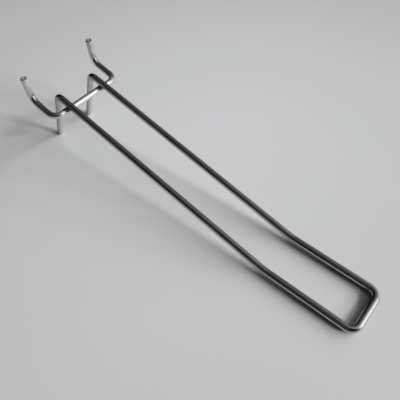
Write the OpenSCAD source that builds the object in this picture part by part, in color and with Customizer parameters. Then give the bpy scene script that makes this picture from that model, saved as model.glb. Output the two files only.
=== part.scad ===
/* [Loop wire] */
// Diameter of the wire bent into the long open loop, mm
loop_wire_diameter = 3.8; // [3:0.1:5]
// Distance between the centre lines of the two arms, mm
arm_spacing = 24; // [20:0.5:28]
// Length of each leg from its cut end to the line of the arm, mm
leg_length = 40.5; // [32:0.5:60]
// Slope of the arms above square to the legs, degrees
arm_rise = 9.5; // [3:0.5:18]
// Length of each arm from the leg to the shallow front bend, mm
arm_length = 147; // [90:1:220]
// Extra slope of the front part above the arms, degrees
front_rise = 13; // [6:0.5:24]
// Length of the front part from the shallow bend to the front bar, mm
front_length = 47.5; // [30:0.5:70]
// Centre line radius of the bend at the top of each leg, mm
top_bend_radius = 4.5; // [4:0.25:8]
// Centre line radius of the shallow front bend, mm
front_bend_radius = 30; // [20:1:60]
// Centre line radius of the two corners of the front bar, mm
front_corner_radius = 4.5; // [4:0.25:9]

/* [Peg wire] */
// Diameter of the wire bent into the crossbar and its two prongs, mm
peg_wire_diameter = 3.5; // [3:0.1:4.2]
// Distance between the centre lines of the two prongs, mm
prong_spacing = 45; // [42:0.5:60]
// Distance along the arms from the legs to the crossbar, mm
crossbar_distance = 9; // [7.5:0.1:14]
// Length of each prong shank from the crossbar to the line of its tip, mm
shank_length = 18; // [15:0.5:26]
// Lean of the prong tips past square to the shanks, degrees
tip_lean = 12.5; // [0:0.5:25]
// Length of each prong tip from the line of the shank to its cut end, mm
tip_length = 14.5; // [10:0.5:22]
// Centre line radius of the bend between shank and tip, mm
tip_bend_radius = 6; // [4:0.25:7]
// Centre line radius of the two corners of the crossbar, mm
crossbar_corner_radius = 5; // [3.5:0.25:6]

/* [Welds] */
// Depth that each arm is pressed into the soft crossbar, mm
weld_set = 0.3; // [0.1:0.05:0.5]
// Diameter of the collar of crossbar metal squeezed up under each arm, mm
weld_collar_diameter = 4.2; // [4:0.1:4.8]

/* [Wire finish] */
// Width of the broken edge at each cut end, mm
end_chamfer = 0.3; // [0.1:0.05:0.6]
// How much thinner the wire is where it is bent, mm
bend_thinning = 0.02; // [0.01:0.01:0.06]

/* [Hidden] */
$fn = 72;

// How far each bend runs on inside the straight wire at its ends, mm
bend_lap = 0.15;
// How far each seat is cut to either side of the weld, mm
seat_reach = weld_collar_diameter;

steel = [0.74, 0.75, 0.77];
sides = [-1, 1];
upright = 90;
backward = 180;

loop_radius = loop_wire_diameter / 2;
peg_radius = peg_wire_diameter / 2;
front_pitch = arm_rise + front_rise;

// Points of the side view are [forward, up], with the legs upright and their cut ends at zero
foot = [0, 0];
leg_top = [0, leg_length];
front_bend = leg_top + ahead(arm_rise, arm_length);
front_end = front_bend + ahead(front_pitch, front_length);
crossbar_drop = loop_radius + peg_radius - weld_set;
weld_spot = leg_top + ahead(arm_rise, crossbar_distance);
crossbar_axis = weld_spot + ahead(arm_rise - upright, crossbar_drop);
weld_centre = weld_spot + ahead(arm_rise - upright, loop_radius - weld_set / 2);
tip_foot = crossbar_axis + ahead(arm_rise + backward, shank_length);
tip_direction = upright + arm_rise + tip_lean;

// What each bend takes off the straight wire on either side of it
top_setback = setback(top_bend_radius, upright - arm_rise);
front_setback = setback(front_bend_radius, front_rise);
tip_setback = setback(tip_bend_radius, upright - tip_lean);

// The hook lies nose down on its feet and on the front bar, or on the shallow bend if that is lower
foot_edge = [loop_radius - end_chamfer, 0];
bar_from_edge = front_end - foot_edge;
bar_pitch = direction(bar_from_edge) - asin(loop_radius / norm(bar_from_edge));
bend_middle_pitch = arm_rise + front_rise / 2;
front_bend_centre = front_bend
    + ahead(bend_middle_pitch + upright, front_bend_radius / cos(front_rise / 2));
bend_from_edge = front_bend_centre - foot_edge;
bend_pitch = direction(bend_from_edge)
    - asin((front_bend_radius + loop_radius) / norm(bend_from_edge));
rest_pitch = bend_pitch < front_pitch ? bend_pitch : bar_pitch;

// Place of the foot once the hook lies down, with the middle of its length over the origin
rest_front = lying_forward(front_end) + loop_radius;
rest_back = lying_forward([-loop_radius, end_chamfer]);
rest_shift = (rest_front + rest_back) / 2;
rest_lift = foot_edge[0] * sin(rest_pitch);

function ahead(pitch, length) = [length * cos(pitch), length * sin(pitch)];
function direction(v) = atan2(v[1], v[0]);
function setback(radius, turn) = radius * tan(turn / 2);
function lying_forward(p) = p[0] * cos(rest_pitch) + p[1] * sin(rest_pitch);

// Lays the upright hook down on the floor
module lying() {
    translate([0, rest_shift, rest_lift])
        rotate([rest_pitch, 0, 0])
            children();
}

// Moves to a point of the side view, a distance to the right of the middle
module at(point, right = 0) {
    translate([right, -point[0], point[1]])
        children();
}

// Straight wire that starts here and runs along a pitch of the side view
module straight(diameter, length, pitch) {
    rotate([upright - pitch, 0, 0])
        cylinder(d = diameter, h = length);
}

// The same with a cut end whose edge is broken, where it starts
module cut_straight(diameter, length, pitch) {
    radius = diameter / 2;
    rotate([upright - pitch, 0, 0])
        rotate_extrude()
            polygon([
                [0, 0],
                [radius - end_chamfer, 0],
                [radius, end_chamfer],
                [radius, length],
                [0, length]
            ]);
}

// Straight wire from side to side, its middle here
module bar(diameter, length) {
    rotate([0, upright, 0])
        cylinder(d = diameter, h = length, center = true);
}

// Arc of wire round the upright axis here, with its laps
module arc(diameter, radius, start, turn) {
    lap = bend_lap / radius * 180 / PI;
    rotate([0, 0, start - lap])
        rotate_extrude(angle = turn + 2 * lap)
            translate([radius, 0])
                circle(d = diameter - bend_thinning);
}

// Bend in the side view that turns the wire up from one pitch to a higher one
module rising_bend(diameter, radius, from, to) {
    at(ahead(from + upright, radius))
        rotate([upright, 0, -upright])
            arc(diameter, radius, from - upright, to - from);
}

// Bend in the side view that turns the wire down from one pitch to a lower one
module falling_bend(diameter, radius, from, to) {
    at(ahead(from - upright, radius))
        rotate([upright, 0, -upright])
            arc(diameter, radius, to + upright, from - to);
}

// Flat corner at the end of a bar that lies here, at its left or right
module corner(diameter, radius, half_width, side) {
    translate([side * (half_width - radius), radius, 0])
        arc(diameter, radius, side > 0 ? -upright : -2 * upright, upright);
}

module loop_side(side) {
    right = side * arm_spacing / 2;
    leg_straight = leg_length - top_setback;
    arm_straight = arm_length - top_setback - front_setback;
    front_straight = front_length - front_setback - front_corner_radius;
    at(foot, right)
        cut_straight(loop_wire_diameter, leg_straight, upright);
    at([0, leg_straight], right)
        falling_bend(loop_wire_diameter, top_bend_radius, upright, arm_rise);
    at(leg_top + ahead(arm_rise, top_setback), right)
        straight(loop_wire_diameter, arm_straight, arm_rise);
    at(front_bend - ahead(arm_rise, front_setback), right)
        rising_bend(loop_wire_diameter, front_bend_radius, arm_rise, front_pitch);
    at(front_bend + ahead(front_pitch, front_setback), right)
        straight(loop_wire_diameter, front_straight, front_pitch);
}

module loop_front() {
    at(front_end)
        rotate([-front_pitch, 0, 0]) {
            bar(loop_wire_diameter, arm_spacing - 2 * front_corner_radius);
            for (side = sides)
                corner(loop_wire_diameter, front_corner_radius, arm_spacing / 2, side);
        }
}

module prong(side) {
    right = side * prong_spacing / 2;
    shank_straight = shank_length - crossbar_corner_radius - tip_setback;
    tip_straight = tip_length - tip_setback;
    shank_start = crossbar_axis - ahead(arm_rise, crossbar_corner_radius);
    tip_end = tip_foot + ahead(tip_direction, tip_length);
    at(shank_start, right)
        straight(peg_wire_diameter, shank_straight, arm_rise + backward);
    at(tip_foot + ahead(arm_rise, tip_setback), right)
        falling_bend(peg_wire_diameter, tip_bend_radius, arm_rise + backward, tip_direction);
    at(tip_end, right)
        cut_straight(peg_wire_diameter, tip_straight, tip_direction - backward);
}

module crossbar() {
    at(crossbar_axis)
        rotate([-arm_rise, 0, 0]) {
            bar(peg_wire_diameter, prong_spacing - 2 * crossbar_corner_radius);
            for (side = sides)
                corner(peg_wire_diameter, crossbar_corner_radius, prong_spacing / 2, side);
        }
}

// Crossbar metal squeezed up on either side of an arm by its weld
module weld_collar(side) {
    at(weld_centre, side * arm_spacing / 2)
        sphere(d = weld_collar_diameter);
}

// Seat that the arm has pressed into the crossbar
module arm_seat(side) {
    at(weld_spot - ahead(arm_rise, seat_reach), side * arm_spacing / 2)
        straight(loop_wire_diameter, 2 * seat_reach, arm_rise);
}

module loop_wire() {
    color(steel)
        lying() {
            loop_front();
            for (side = sides)
                loop_side(side);
        }
}

module peg_wire() {
    color(steel)
        lying()
            difference() {
                union() {
                    crossbar();
                    for (side = sides) {
                        prong(side);
                        weld_collar(side);
                    }
                }
                for (side = sides)
                    arm_seat(side);
            }
}

loop_wire();
peg_wire();
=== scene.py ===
import math

import bpy
import numpy as np
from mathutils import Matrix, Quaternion, Vector


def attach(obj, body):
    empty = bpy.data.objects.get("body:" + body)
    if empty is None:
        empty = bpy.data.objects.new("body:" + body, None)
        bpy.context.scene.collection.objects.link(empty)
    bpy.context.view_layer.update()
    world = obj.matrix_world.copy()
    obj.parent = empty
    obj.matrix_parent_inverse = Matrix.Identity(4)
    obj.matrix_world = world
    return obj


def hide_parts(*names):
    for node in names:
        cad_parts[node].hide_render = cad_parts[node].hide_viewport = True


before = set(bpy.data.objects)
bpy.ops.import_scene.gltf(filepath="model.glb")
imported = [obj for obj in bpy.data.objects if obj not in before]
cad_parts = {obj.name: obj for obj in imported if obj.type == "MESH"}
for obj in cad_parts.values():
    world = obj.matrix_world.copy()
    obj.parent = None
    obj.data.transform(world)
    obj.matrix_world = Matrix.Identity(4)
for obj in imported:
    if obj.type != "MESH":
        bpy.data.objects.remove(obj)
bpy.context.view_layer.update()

MM = 0.001

# Sizes of the hook, in millimetres, the same as in the part's source
LOOP_WIRE = 3.8
ARM_SPACING = 24
LEG_LENGTH = 40.5
ARM_RISE = 9.5
ARM_LENGTH = 147
FRONT_RISE = 13
FRONT_LENGTH = 47.5
TOP_BEND = 4.5
FRONT_BEND = 30
FRONT_CORNER = 4.5
PEG_WIRE = 3.5
PRONG_SPACING = 45
CROSSBAR_DISTANCE = 9
SHANK_LENGTH = 18
TIP_LEAN = 12.5
TIP_LENGTH = 14.5
TIP_BEND = 6
CROSSBAR_CORNER = 5
WELD_SET = 0.3
WELD_COLLAR = 4.2
END_EDGE = 0.3
SIDES = (-1, 1)

# Finer detail of the cut ends and the weld collars, in millimetres or as part of the radius
CUT_HOLLOW = (0.05, 0.02)
CUT_RIM = 0.12
CUT_STEP = 0.3
COLLAR_REACH = 5.6
COLLAR_CLEARANCE = 0.02
COLLAR_BALL = 0.92
COLLAR_GRAIN = 0.11
COLLAR_MELTS = 6

# Fineness of the drawn wire
ROUND_STEPS = 48
BEND_STEP = math.radians(4)
FEWEST_BEND_STEPS = 6
EDGE_STEPS = 4
SHARP_ANGLE = math.radians(40)


# The side view of the hook: points are forward and up, in millimetres, with the legs upright


def ahead(pitch, length):
    """Step of a length at a pitch over the level, in degrees."""
    return Vector((math.cos(math.radians(pitch)), math.sin(math.radians(pitch)))) * length


foot = Vector((0, 0))
leg_top = Vector((0, LEG_LENGTH))
shallow_bend = leg_top + ahead(ARM_RISE, ARM_LENGTH)
front_bar = shallow_bend + ahead(ARM_RISE + FRONT_RISE, FRONT_LENGTH)
weld_spot = leg_top + ahead(ARM_RISE, CROSSBAR_DISTANCE)
under_arm = ahead(ARM_RISE - 90, 1)
crossbar = weld_spot + under_arm * ((LOOP_WIRE + PEG_WIRE) / 2 - WELD_SET)
weld_middle = weld_spot + under_arm * ((LOOP_WIRE - WELD_SET) / 2)
tip_bend = crossbar - ahead(ARM_RISE, SHANK_LENGTH)
tip_end = tip_bend + ahead(90 + ARM_RISE + TIP_LEAN, TIP_LENGTH)

# The hook tips forward on the front edges of its feet until the shallow bend or, past it, the
# front bar reaches the floor
foot_edge = Vector((LOOP_WIRE / 2 - END_EDGE, 0))
to_bend = shallow_bend - foot_edge + ahead(
    ARM_RISE + FRONT_RISE / 2 + 90, FRONT_BEND / math.cos(math.radians(FRONT_RISE / 2))
)
rest_pitch = math.atan2(to_bend[1], to_bend[0]) - math.asin(
    (FRONT_BEND + LOOP_WIRE / 2) / to_bend.length
)
to_bar = front_bar - foot_edge
bar_pitch = math.atan2(to_bar[1], to_bar[0]) - math.asin(LOOP_WIRE / 2 / to_bar.length)
if rest_pitch >= math.radians(ARM_RISE + FRONT_RISE):
    rest_pitch = bar_pitch


def lying_forward(point):
    """How far forward a side view point is once the hook lies on the floor."""
    return point[0] * math.cos(rest_pitch) + point[1] * math.sin(rest_pitch)


rest_shift = (
    lying_forward(front_bar) + LOOP_WIRE / 2 + lying_forward((-LOOP_WIRE / 2, END_EDGE))
) / 2
rest_lift = foot_edge[0] * math.sin(rest_pitch)


def lying(point, right=0):
    """Place of a side view point once the hook lies on the floor, in metres."""
    up = point[1] * math.cos(rest_pitch) - point[0] * math.sin(rest_pitch)
    return Vector((right, rest_shift - lying_forward(point), rest_lift + up)) * MM


# Modelling the wires


def nothing_selected():
    bpy.ops.object.select_all(action="DESELECT")


def keep_place_in_mesh(piece):
    nothing_selected()
    piece.select_set(True)
    bpy.context.view_layer.objects.active = piece
    bpy.ops.object.transform_apply(location=True, rotation=True, scale=True)


def pick_ring(piece, middle, reach):
    """Selects the vertices of a piece in edit mode that lie round a point."""
    bpy.ops.mesh.select_all(action="DESELECT")
    bpy.ops.object.mode_set(mode="OBJECT")
    for vertex in piece.data.vertices:
        vertex.select = (vertex.co - middle).length < reach
    bpy.ops.object.mode_set(mode="EDIT")
    bpy.ops.mesh.select_mode(type="VERT")


def draw_on(move, scale=1.0, middle=None):
    """Draws the open end of the wire on by a move, wider or narrower round its middle."""
    bpy.ops.mesh.extrude_region_move(TRANSFORM_OT_translate={"value": move})
    if scale != 1.0:
        bpy.ops.transform.resize(value=(scale,) * 3, center_override=middle)


def round_edge(edge, radius):
    """Distance along the wire and radius at each ring of the worn edge of a cut end."""
    turns = [math.pi / 2 * i / EDGE_STEPS for i in range(EDGE_STEPS + 1)]
    return [(edge * (1 - math.cos(t)), radius - edge * (1 - math.sin(t))) for t in turns]


def bent_wire(name, diameter, corners, bends):
    """One length of wire: cut off, drawn out along its straights and bent at its corners.

    The straightened place of each point, across the wire and along it, is kept on the mesh as
    "drawn", how far the point is into a bend as "bent", and how far it is along the wire from
    the nearer cut end as "from_end", for the marks of drawing, bending and handling.
    """
    radius = diameter / 2 * MM
    edge = END_EDGE * MM
    ways = [(b - a).normalized() for a, b in zip(corners, corners[1:])]
    across = ways[0].cross(Vector((1, 0, 0))).normalized()
    rings = []

    def keep_ring(middle, way, along, bent):
        rings.append((middle.copy(), way.copy(), across.copy(), along, bent))

    nothing_selected()
    profile = round_edge(edge, radius)
    bpy.ops.mesh.primitive_circle_add(
        vertices=ROUND_STEPS,
        radius=profile[0][1],
        fill_type="NOTHING",
        location=corners[0],
        rotation=ways[0].to_track_quat("Z", "Y").to_euler(),
    )
    wire = bpy.context.object
    wire.name = wire.data.name = name
    keep_place_in_mesh(wire)
    bpy.ops.object.mode_set(mode="EDIT")
    bpy.ops.mesh.select_all(action="SELECT")

    keep_ring(corners[0], ways[0], 0, 0)
    for (a, ra), (b, rb) in zip(profile, profile[1:]):
        here = corners[0] + ways[0] * b
        draw_on(ways[0] * (b - a), rb / ra, here)
        keep_ring(here, ways[0], b, 0)
    along = profile[-1][0]

    for way, next_way, corner, bend in zip(ways, ways[1:], corners[1:], bends):
        turn = way.angle(next_way)
        bend = bend * MM
        bend_start = corner - way * bend * math.tan(turn / 2)
        inward = (next_way - way * next_way.dot(way)).normalized()
        axis = way.cross(inward)
        draw_on(bend_start - here)
        along += (bend_start - here).length
        keep_ring(bend_start, way, along, 0)
        centre = bend_start + inward * bend
        steps = max(FEWEST_BEND_STEPS, math.ceil(turn / BEND_STEP))
        bpy.ops.mesh.spin(steps=steps, dupli=False, angle=-turn, center=centre, axis=axis)
        across_before = across.copy()
        for i in range(1, steps + 1):
            part_turn = Quaternion(axis, turn * i / steps)
            across = part_turn @ across_before
            here = centre + part_turn @ (bend_start - centre)
            keep_ring(
                here,
                part_turn @ way,
                along + bend * turn * i / steps,
                math.sin(math.pi * i / steps) if i < steps else 0,
            )
        along += bend * turn

    way = ways[-1]
    straight_end = corners[-1] - way * edge
    draw_on(straight_end - here)
    along += (straight_end - here).length
    keep_ring(straight_end, way, along, 0)
    for (a, ra), (b, rb) in zip(profile[::-1], profile[-2::-1]):
        here = corners[-1] - way * b
        draw_on(way * (a - b), rb / ra, here)
        keep_ring(here, way, along + edge - b, 0)

    for middle, way in ((corners[0], -ways[0]), (corners[-1], ways[-1])):
        face_of_cut(wire, middle, way, profile[0][1])
    bpy.ops.mesh.select_all(action="SELECT")
    bpy.ops.mesh.remove_doubles(threshold=1e-7)
    bpy.ops.mesh.normals_make_consistent(inside=False)
    bpy.ops.object.mode_set(mode="OBJECT")
    bpy.ops.object.shade_smooth_by_angle(angle=SHARP_ANGLE)
    mark_straightened_place(wire, rings)
    return wire


def face_of_cut(wire, middle, outward, radius):
    """Closes a cut end with its sheared face, a little hollow inside the worn edge."""
    pick_ring(wire, middle, radius * 1.02)
    bpy.ops.mesh.edge_face_add()
    bpy.ops.mesh.inset(thickness=radius * CUT_RIM)
    for hollow in CUT_HOLLOW:
        bpy.ops.mesh.inset(thickness=radius * CUT_STEP)
        bpy.ops.transform.translate(value=outward * -hollow * MM)
    bpy.ops.mesh.poke()


def mark_straightened_place(wire, rings):
    """Keeps "drawn", "bent" and "from_end" on the mesh, from the rings that it was drawn by."""
    places = np.empty(len(wire.data.vertices) * 3)
    wire.data.vertices.foreach_get("co", places)
    places = places.reshape(-1, 3)
    middles = np.array([r[0][:] for r in rings])
    ways = np.array([r[1][:] for r in rings])
    acrosses = np.array([r[2][:] for r in rings])
    along = np.array([r[3] for r in rings])
    bent = np.array([r[4] for r in rings])

    # A point belongs to the ring whose plane it is in, and not to one further off than a radius
    offsets = places[:, None] - middles[None]
    out_of_plane = np.abs(np.einsum("vrk,rk->vr", offsets, ways))
    away = np.linalg.norm(offsets, axis=2)
    too_far = np.maximum(away - LOOP_WIRE / 2 * MM * 1.01, 0)
    ring = np.argmin(out_of_plane + too_far * 10, axis=1)

    offset = places - middles[ring]
    side = np.cross(ways, acrosses)[ring]
    drawn = np.stack(
        [
            np.einsum("vk,vk->v", offset, acrosses[ring]),
            np.einsum("vk,vk->v", offset, side),
            along[ring],
        ],
        axis=1,
    )
    from_end = np.minimum(along[ring], along[-1] - along[ring])
    layer = wire.data.attributes.new("drawn", "FLOAT_VECTOR", "POINT")
    layer.data.foreach_set("vector", drawn.astype(np.float32).ravel())
    for name, values in (("bent", bent[ring]), ("from_end", from_end)):
        layer = wire.data.attributes.new(name, "FLOAT", "POINT")
        layer.data.foreach_set("value", values.astype(np.float32))


def weld_collar(name, side):
    """Metal squeezed up out of the crossbar round the seat of one arm.

    It starts as a length of each wire, a hair thinner than the wire, and a ball of squeezed
    metal between them, melted together.
    """
    right = side * ARM_SPACING / 2
    arm_way = (lying(ahead(ARM_RISE, 1)) - lying((0, 0))).normalized()

    def length_of_wire(diameter, spot, way):
        bpy.ops.mesh.primitive_cylinder_add(
            vertices=ROUND_STEPS,
            radius=(diameter / 2 - COLLAR_CLEARANCE) * MM,
            depth=COLLAR_REACH * MM,
            location=lying(spot, right),
            rotation=way.to_track_quat("Z", "Y").to_euler(),
        )
        return bpy.context.object

    nothing_selected()
    collar = length_of_wire(LOOP_WIRE, weld_spot, arm_way)
    seat = length_of_wire(PEG_WIRE, crossbar, Vector((1, 0, 0)))
    bpy.ops.mesh.primitive_uv_sphere_add(
        segments=ROUND_STEPS,
        ring_count=ROUND_STEPS // 2,
        radius=WELD_COLLAR / 2 * COLLAR_BALL * MM,
        location=lying(weld_middle, right),
    )
    squeezed = bpy.context.object
    nothing_selected()
    for part in (seat, squeezed, collar):
        part.select_set(True)
    bpy.context.view_layer.objects.active = collar
    bpy.ops.object.join()
    collar.name = collar.data.name = name
    keep_place_in_mesh(collar)
    for kind, settings in (
        ("REMESH", {"mode": "VOXEL", "voxel_size": COLLAR_GRAIN * MM}),
        ("SMOOTH", {"factor": 0.5, "iterations": COLLAR_MELTS}),
    ):
        modifier = collar.modifiers.new(kind.title(), kind)
        for key, value in settings.items():
            setattr(modifier, key, value)
        bpy.ops.object.modifier_apply(modifier=modifier.name)
    bpy.ops.object.mode_set(mode="EDIT")
    bpy.ops.mesh.select_all(action="SELECT")
    bpy.ops.mesh.normals_make_consistent(inside=False)
    bpy.ops.object.mode_set(mode="OBJECT")
    bpy.ops.object.shade_smooth()
    return collar


loop_corners = [lying(p, -ARM_SPACING / 2) for p in (foot, leg_top, shallow_bend, front_bar)]
loop_corners += [lying(p, ARM_SPACING / 2) for p in (front_bar, shallow_bend, leg_top, foot)]
loop_bends = [TOP_BEND, FRONT_BEND, FRONT_CORNER, FRONT_CORNER, FRONT_BEND, TOP_BEND]
peg_corners = [lying(p, -PRONG_SPACING / 2) for p in (tip_end, tip_bend, crossbar)]
peg_corners += [lying(p, PRONG_SPACING / 2) for p in (crossbar, tip_bend, tip_end)]
peg_bends = [TIP_BEND, CROSSBAR_CORNER, CROSSBAR_CORNER, TIP_BEND]

loop_wire = bent_wire("loop_wire_plated", LOOP_WIRE, loop_corners, loop_bends)
peg_wire = bent_wire("peg_wire_plated", PEG_WIRE, peg_corners, peg_bends)
collars = [weld_collar(name, side) for name, side in zip(("weld_left", "weld_right"), SIDES)]


# Finishes

CLEAN_PLATING = (0.62, 0.62, 0.61, 1)
DULL_PLATING = (0.51, 0.51, 0.50, 1)
# Whiter plating along the crossbar: a painted sheen on what it mirrors
SHEEN_WHITENED_PLATING = (0.86, 0.86, 0.85, 1)
HEATED_PLATING = (0.55, 0.55, 0.545, 1)
# Painted shade and reflection of the arm, beside each weld
PAINTED_ARM_SHADE = (0.06, 0.058, 0.055, 1)
SQUEEZED_DARK = (0.32, 0.317, 0.31, 1)
SQUEEZED_PALE = (0.58, 0.58, 0.57, 1)
SHEARED_DARK = (0.36, 0.355, 0.345, 1)
SHEARED_PALE = (0.78, 0.77, 0.755, 1)
# Painted shade in a dark ring at the rim of each cut face
PAINTED_RIM_SHADE = (0.05, 0.049, 0.047, 1)

# Where the crossbar starts and is in full, along the peg wire from a cut end, in millimetres
CROSSBAR_FROM_END = (28, 35)

# Reach and fade of the duller spot at a weld and of the arm's painted shade beside it, in
# millimetres
DULLED_BY_WELD = (1.5, 2.3)
ARM_SHADE_REACH = (3.1, 0.7)
# The painted shade lies beside the arm, on the side away from the light
ARM_SHADE_BESIDE = -1.2

# Painted pool of light: tone of the floor by its distance from the middle of the light, in
# millimetres
LIT_MIDDLE = Vector((60, 20, 0)) * MM
FLOOR_REACH = 1500
PAINTED_LIGHT_TONES = [
    (0, (0.615, 0.621, 0.635, 1)),
    (90, (0.580, 0.588, 0.597, 1)),
    (180, (0.534, 0.539, 0.541, 1)),
    (260, (0.500, 0.503, 0.497, 1)),
    (450, (0.390, 0.390, 0.385, 1)),
    (800, (0.280, 0.280, 0.278, 1)),
    (1500, (0.220, 0.220, 0.218, 1)),
]

# Sockets of the Mix node for colours, which share their names with the sockets for numbers
MIX_FIRST, MIX_SECOND, MIX_RESULT = 6, 7, 2


class Value:
    """A socket of a material, so that its maths is written as an expression."""

    def __init__(self, finish, socket):
        self.finish = finish
        self.socket = socket

    def maths(self, operation, first, second):
        return self.finish.node(
            "ShaderNodeMath", {"operation": operation}, {0: first, 1: second}
        )

    def __add__(self, other):
        return self.maths("ADD", self, other)

    def __sub__(self, other):
        return self.maths("SUBTRACT", self, other)

    def __rsub__(self, other):
        return self.maths("SUBTRACT", other, self)

    def __mul__(self, other):
        return self.maths("MULTIPLY", self, other)

    __radd__ = __add__
    __rmul__ = __mul__


class Finish:
    """The nodes of one material, or of the studio round the hook."""

    def __init__(self, owner):
        self.owner = owner
        owner.use_nodes = True
        self.nodes = owner.node_tree.nodes
        self.links = owner.node_tree.links
        self.nodes.clear()

    def node(self, kind, settings=None, sockets=None, out=0):
        """A node of a kind, with its settings, and its sockets linked or set where not None."""
        made = self.nodes.new(kind)
        for key, value in (settings or {}).items():
            if key == "stops":
                self.set_stops(made.color_ramp, value)
            else:
                setattr(made, key, value)
        for key, value in (sockets or {}).items():
            if value is None:
                continue
            if isinstance(value, Value):
                self.links.new(value.socket, made.inputs[key])
            else:
                made.inputs[key].default_value = value
        return Value(self, made.outputs[out]) if made.outputs else made

    @staticmethod
    def set_stops(ramp, stops):
        while len(ramp.elements) < len(stops):
            ramp.elements.new(1)
        for element, (place, colour) in zip(ramp.elements, stops):
            element.position = place
            element.color = colour

    def place(self):
        """Place on the piece, in metres."""
        return self.node("ShaderNodeTexCoord", out="Object")

    def kept(self, name, out="Fac"):
        """What is kept on the mesh under a name."""
        return self.node("ShaderNodeAttribute", {"attribute_name": name}, out=out)

    def vectors(self, operation, first, second=None, out="Value"):
        return self.node(
            "ShaderNodeVectorMath", {"operation": operation}, {0: first, 1: second}, out
        )

    def noise(self, place, scale, detail=2.0, roughness=0.5):
        return self.node(
            "ShaderNodeTexNoise",
            {},
            {"Vector": place, "Scale": scale, "Detail": detail, "Roughness": roughness},
        )

    def stretched(self, place, scale):
        return self.node("ShaderNodeMapping", {}, {"Vector": place, "Scale": scale})

    def eased(self, value, low, high, to_low=0.0, to_high=1.0):
        """A value that goes softly from one level to another between a low and a high."""
        return self.node(
            "ShaderNodeMapRange",
            {"interpolation_type": "SMOOTHSTEP"},
            {
                "Value": value,
                "From Min": low,
                "From Max": high,
                "To Min": to_low,
                "To Max": to_high,
            },
        )

    def mixed(self, factor, first, second):
        """The first colour at 0 and the second at 1."""
        return self.node(
            "ShaderNodeMix",
            {"data_type": "RGBA"},
            {"Factor": factor, MIX_FIRST: first, MIX_SECOND: second},
            MIX_RESULT,
        )

    def bump(self, height, depth, strength, normal=None):
        return self.node(
            "ShaderNodeBump",
            {},
            {"Height": height, "Distance": depth, "Strength": strength, "Normal": normal},
        )

    def surface(self, sockets):
        shader = self.node("ShaderNodeBsdfPrincipled", {}, sockets)
        self.node("ShaderNodeOutputMaterial", {}, {"Surface": shader})
        return self.owner


def near_welds(finish, place, reach, fade, spot=weld_middle, beside=0):
    """1 within a reach of a spot of each weld, falling to 0 over a fade, in millimetres.

    The spot may lie beside the arm's middle, towards the right.
    """
    nearest = None
    for side in SIDES:
        away = finish.vectors("DISTANCE", place, lying(spot, side * ARM_SPACING / 2 + beside))
        mask = finish.eased(away, reach * MM, (reach + fade) * MM, 1.0, 0.0)
        nearest = mask if nearest is None else nearest + mask
    return nearest


def with_arm_shade_painted(finish, place, colour):
    """Painted shade and reflection of the arm, darkening the corner beside each weld under the
    arm.
    """
    arm_shade_mask = near_welds(finish, place, *ARM_SHADE_REACH, weld_spot, ARM_SHADE_BESIDE)
    return finish.mixed(arm_shade_mask * 0.9, colour, PAINTED_ARM_SHADE)


def plated_wire(name, satin, dull_reach, end_haze, crossbar_haze=None):
    """Bright plating on drawn wire: lengthwise draw lines, soft clouding, bending marks.

    It is a little rougher by satin, and hazy over a reach from the cut ends, in millimetres.
    On the peg wire it is also whiter and a little hazy along the crossbar, the whiter plating a
    painted sheen that brightens what it mirrors, and darkened beside the welds by painted shade.
    """
    finish = Finish(bpy.data.materials.new(name))
    drawn = finish.kept("drawn", "Vector")
    bent = finish.kept("bent")
    from_end = finish.kept("from_end")
    place = finish.place()

    lines = finish.noise(finish.stretched(drawn, (1.0, 1.0, 0.02)), 5200.0, 3.0, 0.6)
    broad_lines = finish.noise(finish.stretched(drawn, (1.0, 1.0, 0.03)), 1500.0)
    clouds = finish.noise(place, 170.0, 3.0, 0.6)
    peel = finish.noise(finish.stretched(drawn, (1.0, 1.0, 0.55)), 1900.0)
    weld = near_welds(finish, place, *DULLED_BY_WELD)
    marks = finish.eased(lines * 0.35 + broad_lines * 0.35 + clouds * 0.3, 0.4, 0.6)
    dull_start, dull_stop = (dull_reach - 2) * MM, (dull_reach + 5) * MM
    near_end = finish.eased(from_end + clouds * 4 * MM, dull_start, dull_stop, 1.0, 0.0)
    haze = near_end * (end_haze + marks * 0.16)

    colour = finish.mixed(marks, DULL_PLATING, CLEAN_PLATING)
    if crossbar_haze:
        start, full = CROSSBAR_FROM_END
        on_crossbar = finish.eased(from_end, start * MM, full * MM)
        haze = haze + on_crossbar * crossbar_haze
        # Painted sheen: whiter plating makes the mirrored floor look brighter on the crossbar
        colour = finish.mixed(on_crossbar * 0.8, colour, SHEEN_WHITENED_PLATING)
    colour = finish.mixed(weld * 0.55, colour, HEATED_PLATING)
    if crossbar_haze:
        # Painted shade and reflection of the arms darken the crossbar beside the welds
        colour = with_arm_shade_painted(finish, place, colour)
    roughness = (
        0.09
        + satin
        + finish.eased(clouds, 0.35, 0.75) * 0.07
        + finish.eased(lines, 0.45, 0.7) * 0.05
        + bent * 0.03
        + weld * 0.16
    )
    normal = finish.bump(broad_lines * 0.7 + lines * 0.3, 0.012 * MM, 0.6)
    normal = finish.bump(peel * (0.25 + bent), 0.02 * MM, 0.5, normal)
    return finish.surface(
        {
            "Base Color": colour,
            "Metallic": 1 - haze,
            "Roughness": roughness,
            "Specular Tint": (0.6, 0.6, 0.6, 1),
            "Normal": normal,
        }
    )


def weld_metal():
    """Plated over metal that the weld squeezed out: uneven and duller, with painted shade of the
    arm.
    """
    finish = Finish(bpy.data.materials.new("squeezed_weld_metal"))
    place = finish.place()
    lumps = finish.noise(place, 900.0, 3.0, 0.6)
    grains = finish.noise(place, 3500.0)
    colour = finish.mixed(finish.eased(lumps, 0.4, 0.62), SQUEEZED_DARK, SQUEEZED_PALE)
    roughness = 0.22 + finish.eased(lumps, 0.35, 0.65) * 0.14
    normal = finish.bump(lumps + grains * 0.3, 0.05 * MM, 0.6)
    return finish.surface(
        {
            # Painted shade and reflection of the arm darken one side of the collar
            "Base Color": with_arm_shade_painted(finish, place, colour),
            "Metallic": 1.0,
            "Roughness": roughness,
            "Normal": normal,
        }
    )


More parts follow.
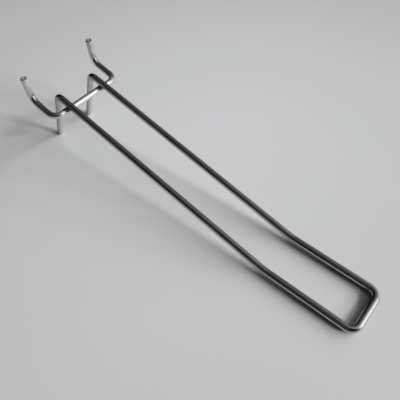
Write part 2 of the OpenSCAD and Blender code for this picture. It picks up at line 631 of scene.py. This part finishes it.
def sheared_end():
    """Face where the wire was sheared off: dull, with the drag of the blade and painted shade at
    its rim.
    """
    finish = Finish(bpy.data.materials.new("sheared_wire_end"))
    place = finish.place()
    across = finish.vectors(
        "MULTIPLY", finish.kept("drawn", "Vector"), (1.0, 1.0, 0.0), "Vector"
    )
    from_middle = finish.vectors("LENGTH", across)
    drag = finish.noise(finish.stretched(place, (1.0, 0.12, 1.0)), 3200.0, 3.0, 0.6)
    patches = finish.noise(place, 900.0)
    # Painted shade: a dark ring near the rim of the cut face
    rim_shade_mask = finish.eased(from_middle + patches * 0.5 * MM, 1.1 * MM, 1.65 * MM)
    worn = finish.eased(drag * 0.5 + patches * 0.5, 0.38, 0.62)
    colour = finish.mixed(worn, SHEARED_DARK, SHEARED_PALE)
    return finish.surface(
        {
            "Base Color": finish.mixed(rim_shade_mask, colour, PAINTED_RIM_SHADE),
            "Metallic": 0.6,
            "Roughness": 0.34 + patches * 0.16,
            "Normal": finish.bump(drag, 0.04 * MM, 0.7),
        }
    )


def pale_floor():
    """Pale, smooth floor with a painted pool of light: palest round the hook, darker further off.
    """
    finish = Finish(bpy.data.materials.new("pale_floor"))
    place = finish.place()
    away = finish.vectors("DISTANCE", place, LIT_MIDDLE)
    clouds = finish.noise(place, 6.0, 3.0, 0.5)
    painted_light_tone = finish.node(
        "ShaderNodeValToRGB",
        {"stops": [(away_mm / FLOOR_REACH, colour) for away_mm, colour in PAINTED_LIGHT_TONES]},
        {"Fac": (away + clouds * 0.02) * (1 / (FLOOR_REACH * MM))},
    )
    return finish.surface({"Base Color": painted_light_tone, "Roughness": 0.30, "Specular IOR Level": 1.0})


bright_wire = plated_wire("bright_plated_wire", satin=0.0, dull_reach=33, end_haze=0.34)
satin_wire = plated_wire(
    "satin_plated_wire", satin=0.06, dull_reach=9, end_haze=0.15, crossbar_haze=0.09
)
cut_face = sheared_end()
collar_metal = weld_metal()
FACE_OF_CUT_TILT = math.radians(75)
for wire, node, corners, plating in (
    (loop_wire, "loop_wire", loop_corners, bright_wire),
    (peg_wire, "peg_wire", peg_corners, satin_wire),
):
    wire.data.materials.append(plating)
    wire.data.materials.append(cut_face)
    for end, next_corner in ((corners[0], corners[1]), (corners[-1], corners[-2])):
        for face in wire.data.polygons:
            at_end = (face.center - end).length < LOOP_WIRE / 2 * MM
            if at_end and face.normal.angle(end - next_corner) < FACE_OF_CUT_TILT:
                face.material_index = 1
    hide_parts(node)
    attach(wire, "root")
for collar in collars:
    collar.data.materials.append(collar_metal)
    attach(collar, "root")


# Floor and light

FLOOR_SIZE = 8

# A low wide band of soft light, as lamps: azimuth, elevation and width in degrees, and share
DAYLIGHT = (
    (-77, 33, 9, 0.29),
    (-75, 20, 9, 0.46),
    (-65, 28, 8, 0.11),
    (-58, 28, 9, 0.30),
    (-45, 29, 9, 0.22),
    (-38, 28, 8, 0.095),
    (-28, 26, 9, 0.25),
    (-17, 21, 9, 0.155),
    (3, 16, 12, 0.12),
)

# What the metal mirrors of the studio: azimuth and elevation in degrees, and brightness
SOFT_PATCHES = (
    (-65, 11, 2.3),
    (-57, 45, 1.35),
    (-32, 4, 1.4),
    (-12, 16, 0.6),
    (-37, 65, 0.2),
    (-5, 52, 0.12),
    (8, 28, 0.06),
    (28, 42, 0.085),
    (48, 59, 0.1),
    (15, 79, 0.065),
    (153, 87, 0.02),
    (-175, 62, 0.04),
    (-162, 34, 0.1),
    (145, 29, 0.11),
)
PATCH_TIGHTNESS = 26
STUDIO_SHADE = 0.001
WARM_SHADE = (1, 0.91, 0.8, 1)
WHITE = (1, 1, 1, 1)

nothing_selected()
bpy.ops.mesh.primitive_plane_add(size=FLOOR_SIZE, location=(0, 0, 0))
floor = bpy.context.object
floor.name = "floor"
floor.data.materials.append(pale_floor())


def toward(azimuth, elevation):
    """Direction, from azimuth round from +X and elevation over the floor, in degrees."""
    azimuth, elevation = math.radians(azimuth), math.radians(elevation)
    level = math.cos(elevation)
    return Vector((level * math.cos(azimuth), level * math.sin(azimuth), math.sin(elevation)))


def soft_daylight(name, azimuth, elevation, width, share):
    """Soft light on the floor, from a round patch of sky that is so many degrees wide.

    A share of 1 from overhead lights a white floor to white.
    """
    light = bpy.data.lights.new(name, "SUN")
    light.angle = math.radians(width)
    light.energy = math.pi * share
    lamp = bpy.data.objects.new(name, light)
    lamp.rotation_euler = toward(azimuth, elevation).to_track_quat("Z", "Y").to_euler()
    lamp.visible_glossy = False
    bpy.context.scene.collection.objects.link(lamp)


def dim_studio():
    """What the metal mirrors above the floor: warm shade all round, and soft patches of light."""
    studio = bpy.data.worlds.new("dim_studio")
    finish = Finish(studio)
    way = finish.node("ShaderNodeTexCoord")
    light = STUDIO_SHADE
    for azimuth, elevation, brightness in SOFT_PATCHES:
        closeness = finish.vectors("DOT_PRODUCT", way, toward(azimuth, elevation))
        fade = closeness * PATCH_TIGHTNESS - PATCH_TIGHTNESS
        patch = finish.node("ShaderNodeMath", {"operation": "EXPONENT"}, {0: fade})
        light = patch * brightness + light
    tint = finish.mixed(finish.eased(light, 0.02, 0.4), WARM_SHADE, WHITE)
    glow = finish.node("ShaderNodeBackground", {}, {"Color": tint, "Strength": light})
    finish.node("ShaderNodeOutputWorld", {}, {"Surface": glow})
    return studio


for number, (azimuth, elevation, width, share) in enumerate(DAYLIGHT, start=1):
    soft_daylight(f"daylight_{number}", azimuth, elevation, width, share)
bpy.context.scene.world = dim_studio()


# The camera looks at a point of the floor, from a direction and a distance, a little tilted

CAMERA_AIM = Vector((2.63, -2.49, 0)) * MM
CAMERA_DISTANCE = 227.74 * MM
CAMERA_FROM = toward(-136.84, 52.77)
CAMERA_TILT = math.radians(-3.62)
CAMERA_LENS = 36.83
CAMERA_SENSOR = 36

lens = bpy.data.cameras.new("camera")
lens.sensor_width = CAMERA_SENSOR
lens.lens = CAMERA_LENS
lens.clip_start, lens.clip_end = 0.005, 20
camera = bpy.data.objects.new("camera", lens)
camera.location = CAMERA_AIM + CAMERA_FROM * CAMERA_DISTANCE
facing = CAMERA_FROM.to_track_quat("Z", "Y") @ Quaternion((0, 0, 1), CAMERA_TILT)
camera.rotation_euler = facing.to_euler()
bpy.context.scene.collection.objects.link(camera)
bpy.context.scene.camera = camera
bpy.context.scene.view_settings.view_transform = "Standard"
